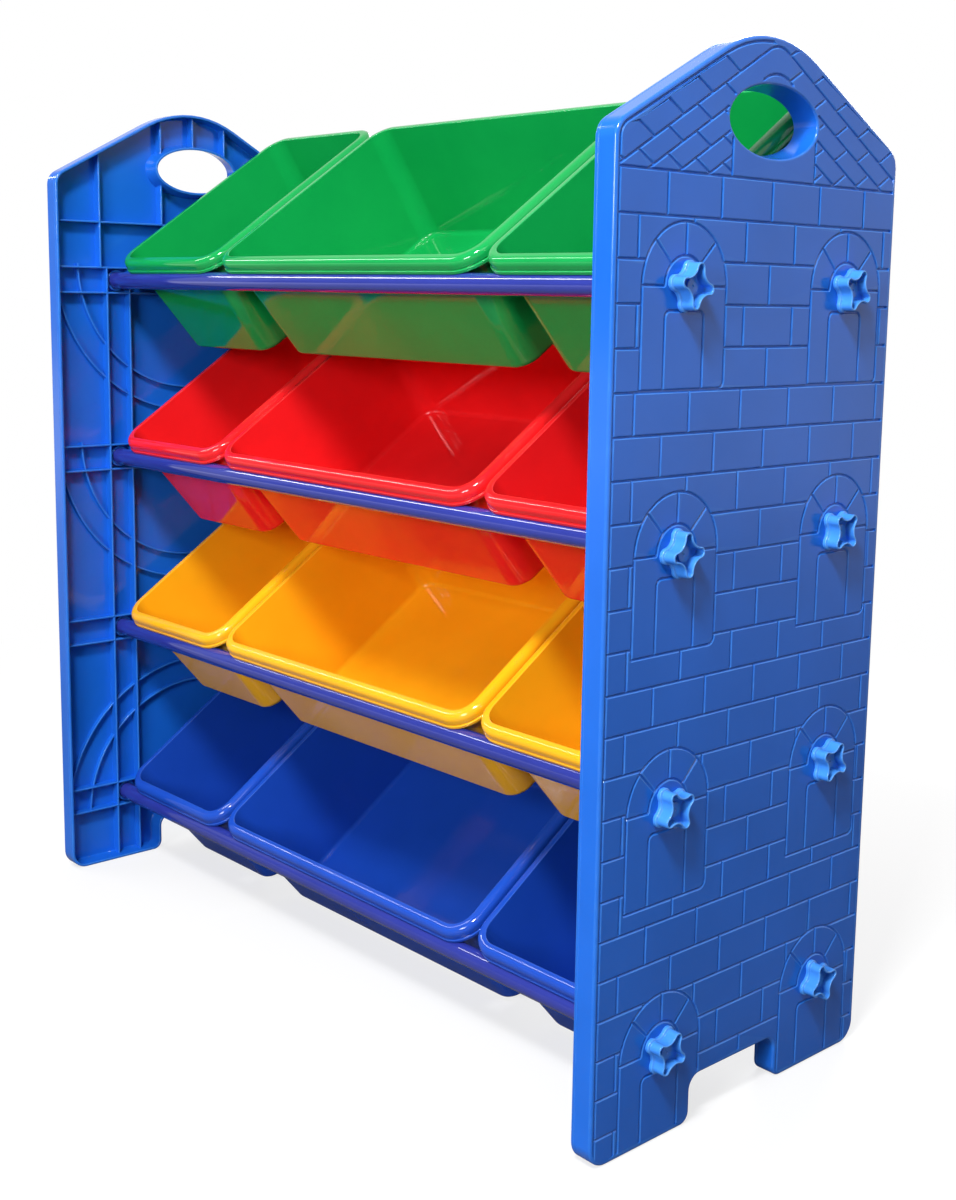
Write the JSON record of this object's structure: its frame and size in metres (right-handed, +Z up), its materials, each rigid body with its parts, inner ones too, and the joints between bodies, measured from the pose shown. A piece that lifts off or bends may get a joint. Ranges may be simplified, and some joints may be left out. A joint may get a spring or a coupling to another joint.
{
  "type": "toy storage organizer",
  "caption": "Toy organiser with castle-shaped end panels, round tubes held by star knobs, and rows of open bins that tip forward.",
  "frame": {"origin": "on the floor, at the middle of the footprint", "axes": "+X along the tubes to the right as seen from the open front, -Y towards the front, +Z up"},
  "size_m": [0.8894, 0.342, 0.8661],
  "materials": {
    "panel_blue": "satin moulded, medium blue",
    "tube_paint": "glossy dark blue powder coat",
    "plug_grey": "moulded, dark grey",
    "knob_blue": "glossy, light blue",
    "bin_green": "glossy green",
    "bin_red": "glossy red",
    "bin_yellow": "glossy orange-yellow",
    "bin_blue": "glossy deep blue"
  },
  "bodies": {
    "frame": {"left_panel": "panel_blue", "right_panel": "panel_blue", "tube_front_1": "tube_paint", "plug_front_1_right": "plug_grey", "plug_front_1_left": "plug_grey", "tube_rear_1": "tube_paint", "plug_rear_1_right": "plug_grey", "plug_rear_1_left": "plug_grey", "tube_front_2": "tube_paint", "plug_front_2_right": "plug_grey", "plug_front_2_left": "plug_grey", "tube_rear_2": "tube_paint", "plug_rear_2_right": "plug_grey", "plug_rear_2_left": "plug_grey", "tube_front_3": "tube_paint", "plug_front_3_right": "plug_grey", "plug_front_3_left": "plug_grey", "tube_rear_3": "tube_paint", "plug_rear_3_right": "plug_grey", "plug_rear_3_left": "plug_grey", "tube_front_4": "tube_paint", "plug_front_4_right": "plug_grey", "plug_front_4_left": "plug_grey", "tube_rear_4": "tube_paint", "plug_rear_4_right": "plug_grey", "plug_rear_4_left": "plug_grey"},
    "knob_front_1_right": {"knob_front_1_right": "knob_blue"},
    "knob_front_1_left": {"knob_front_1_left": "knob_blue"},
    "knob_rear_1_right": {"knob_rear_1_right": "knob_blue"},
    "knob_rear_1_left": {"knob_rear_1_left": "knob_blue"},
    "green_bin_left": {"green_bin_left": "bin_green"},
    "green_bin_wide": {"green_bin_wide": "bin_green"},
    "green_bin_right": {"green_bin_right": "bin_green"},
    "knob_front_2_right": {"knob_front_2_right": "knob_blue"},
    "knob_front_2_left": {"knob_front_2_left": "knob_blue"},
    "knob_rear_2_right": {"knob_rear_2_right": "knob_blue"},
    "knob_rear_2_left": {"knob_rear_2_left": "knob_blue"},
    "red_bin_left": {"red_bin_left": "bin_red"},
    "red_bin_wide": {"red_bin_wide": "bin_red"},
    "red_bin_right": {"red_bin_right": "bin_red"},
    "knob_front_3_right": {"knob_front_3_right": "knob_blue"},
    "knob_front_3_left": {"knob_front_3_left": "knob_blue"},
    "knob_rear_3_right": {"knob_rear_3_right": "knob_blue"},
    "knob_rear_3_left": {"knob_rear_3_left": "knob_blue"},
    "yellow_bin_left": {"yellow_bin_left": "bin_yellow"},
    "yellow_bin_wide": {"yellow_bin_wide": "bin_yellow"},
    "yellow_bin_right": {"yellow_bin_right": "bin_yellow"},
    "knob_front_4_right": {"knob_front_4_right": "knob_blue"},
    "knob_front_4_left": {"knob_front_4_left": "knob_blue"},
    "knob_rear_4_right": {"knob_rear_4_right": "knob_blue"},
    "knob_rear_4_left": {"knob_rear_4_left": "knob_blue"},
    "blue_bin_left": {"blue_bin_left": "bin_blue"},
    "blue_bin_wide": {"blue_bin_wide": "bin_blue"},
    "blue_bin_right": {"blue_bin_right": "bin_blue"}
  },
  "joints": [
    {"name": "knob_front_1_right_turn", "type": "hinge", "parent": "frame", "child": "knob_front_1_right", "pos_m": [0.431, -0.0935, 0.6765], "axis": [1, 0, 0], "continuous": true},
    {"name": "knob_front_1_left_turn", "type": "hinge", "parent": "frame", "child": "knob_front_1_left", "pos_m": [-0.431, -0.0935, 0.6765], "axis": [-1, 0, 0], "continuous": true},
    {"name": "knob_rear_1_right_turn", "type": "hinge", "parent": "frame", "child": "knob_rear_1_right", "pos_m": [0.431, 0.1065, 0.6765], "axis": [1, 0, 0], "continuous": true},
    {"name": "knob_rear_1_left_turn", "type": "hinge", "parent": "frame", "child": "knob_rear_1_left", "pos_m": [-0.431, 0.1065, 0.6765], "axis": [-1, 0, 0], "continuous": true},
    {"name": "green_bin_left_tip", "type": "hinge", "parent": "frame", "child": "green_bin_left", "pos_m": [-0.305, 0.1065, 0.6765], "axis": [-1, 0, 0], "range_deg": [0, 35]},
    {"name": "green_bin_wide_tip", "type": "hinge", "parent": "frame", "child": "green_bin_wide", "pos_m": [0, 0.1065, 0.6765], "axis": [-1, 0, 0], "range_deg": [0, 35]},
    {"name": "green_bin_right_tip", "type": "hinge", "parent": "frame", "child": "green_bin_right", "pos_m": [0.305, 0.1065, 0.6765], "axis": [-1, 0, 0], "range_deg": [0, 35]},
    {"name": "knob_front_2_right_turn", "type": "hinge", "parent": "frame", "child": "knob_front_2_right", "pos_m": [0.431, -0.0935, 0.4765], "axis": [1, 0, 0], "continuous": true},
    {"name": "knob_front_2_left_turn", "type": "hinge", "parent": "frame", "child": "knob_front_2_left", "pos_m": [-0.431, -0.0935, 0.4765], "axis": [-1, 0, 0], "continuous": true},
    {"name": "knob_rear_2_right_turn", "type": "hinge", "parent": "frame", "child": "knob_rear_2_right", "pos_m": [0.431, 0.1065, 0.4765], "axis": [1, 0, 0], "continuous": true},
    {"name": "knob_rear_2_left_turn", "type": "hinge", "parent": "frame", "child": "knob_rear_2_left", "pos_m": [-0.431, 0.1065, 0.4765], "axis": [-1, 0, 0], "continuous": true},
    {"name": "red_bin_left_tip", "type": "hinge", "parent": "frame", "child": "red_bin_left", "pos_m": [-0.305, 0.1065, 0.4765], "axis": [-1, 0, 0], "range_deg": [0, 35]},
    {"name": "red_bin_wide_tip", "type": "hinge", "parent": "frame", "child": "red_bin_wide", "pos_m": [0, 0.1065, 0.4765], "axis": [-1, 0, 0], "range_deg": [0, 35]},
    {"name": "red_bin_right_tip", "type": "hinge", "parent": "frame", "child": "red_bin_right", "pos_m": [0.305, 0.1065, 0.4765], "axis": [-1, 0, 0], "range_deg": [0, 35]},
    {"name": "knob_front_3_right_turn", "type": "hinge", "parent": "frame", "child": "knob_front_3_right", "pos_m": [0.431, -0.0935, 0.2765], "axis": [1, 0, 0], "continuous": true},
    {"name": "knob_front_3_left_turn", "type": "hinge", "parent": "frame", "child": "knob_front_3_left", "pos_m": [-0.431, -0.0935, 0.2765], "axis": [-1, 0, 0], "continuous": true},
    {"name": "knob_rear_3_right_turn", "type": "hinge", "parent": "frame", "child": "knob_rear_3_right", "pos_m": [0.431, 0.1065, 0.2765], "axis": [1, 0, 0], "continuous": true},
    {"name": "knob_rear_3_left_turn", "type": "hinge", "parent": "frame", "child": "knob_rear_3_left", "pos_m": [-0.431, 0.1065, 0.2765], "axis": [-1, 0, 0], "continuous": true},
    {"name": "yellow_bin_left_tip", "type": "hinge", "parent": "frame", "child": "yellow_bin_left", "pos_m": [-0.305, 0.1065, 0.2765], "axis": [-1, 0, 0], "range_deg": [0, 35]},
    {"name": "yellow_bin_wide_tip", "type": "hinge", "parent": "frame", "child": "yellow_bin_wide", "pos_m": [0, 0.1065, 0.2765], "axis": [-1, 0, 0], "range_deg": [0, 35]},
    {"name": "yellow_bin_right_tip", "type": "hinge", "parent": "frame", "child": "yellow_bin_right", "pos_m": [0.305, 0.1065, 0.2765], "axis": [-1, 0, 0], "range_deg": [0, 35]},
    {"name": "knob_front_4_right_turn", "type": "hinge", "parent": "frame", "child": "knob_front_4_right", "pos_m": [0.431, -0.0935, 0.0765], "axis": [1, 0, 0], "continuous": true},
    {"name": "knob_front_4_left_turn", "type": "hinge", "parent": "frame", "child": "knob_front_4_left", "pos_m": [-0.431, -0.0935, 0.0765], "axis": [-1, 0, 0], "continuous": true},
    {"name": "knob_rear_4_right_turn", "type": "hinge", "parent": "frame", "child": "knob_rear_4_right", "pos_m": [0.431, 0.1065, 0.0765], "axis": [1, 0, 0], "continuous": true},
    {"name": "knob_rear_4_left_turn", "type": "hinge", "parent": "frame", "child": "knob_rear_4_left", "pos_m": [-0.431, 0.1065, 0.0765], "axis": [-1, 0, 0], "continuous": true},
    {"name": "blue_bin_left_tip", "type": "hinge", "parent": "frame", "child": "blue_bin_left", "pos_m": [-0.305, 0.1065, 0.0765], "axis": [-1, 0, 0], "range_deg": [0, 35]},
    {"name": "blue_bin_wide_tip", "type": "hinge", "parent": "frame", "child": "blue_bin_wide", "pos_m": [0, 0.1065, 0.0765], "axis": [-1, 0, 0], "range_deg": [0, 35]},
    {"name": "blue_bin_right_tip", "type": "hinge", "parent": "frame", "child": "blue_bin_right", "pos_m": [0.305, 0.1065, 0.0765], "axis": [-1, 0, 0], "range_deg": [0, 35]}
  ]
}
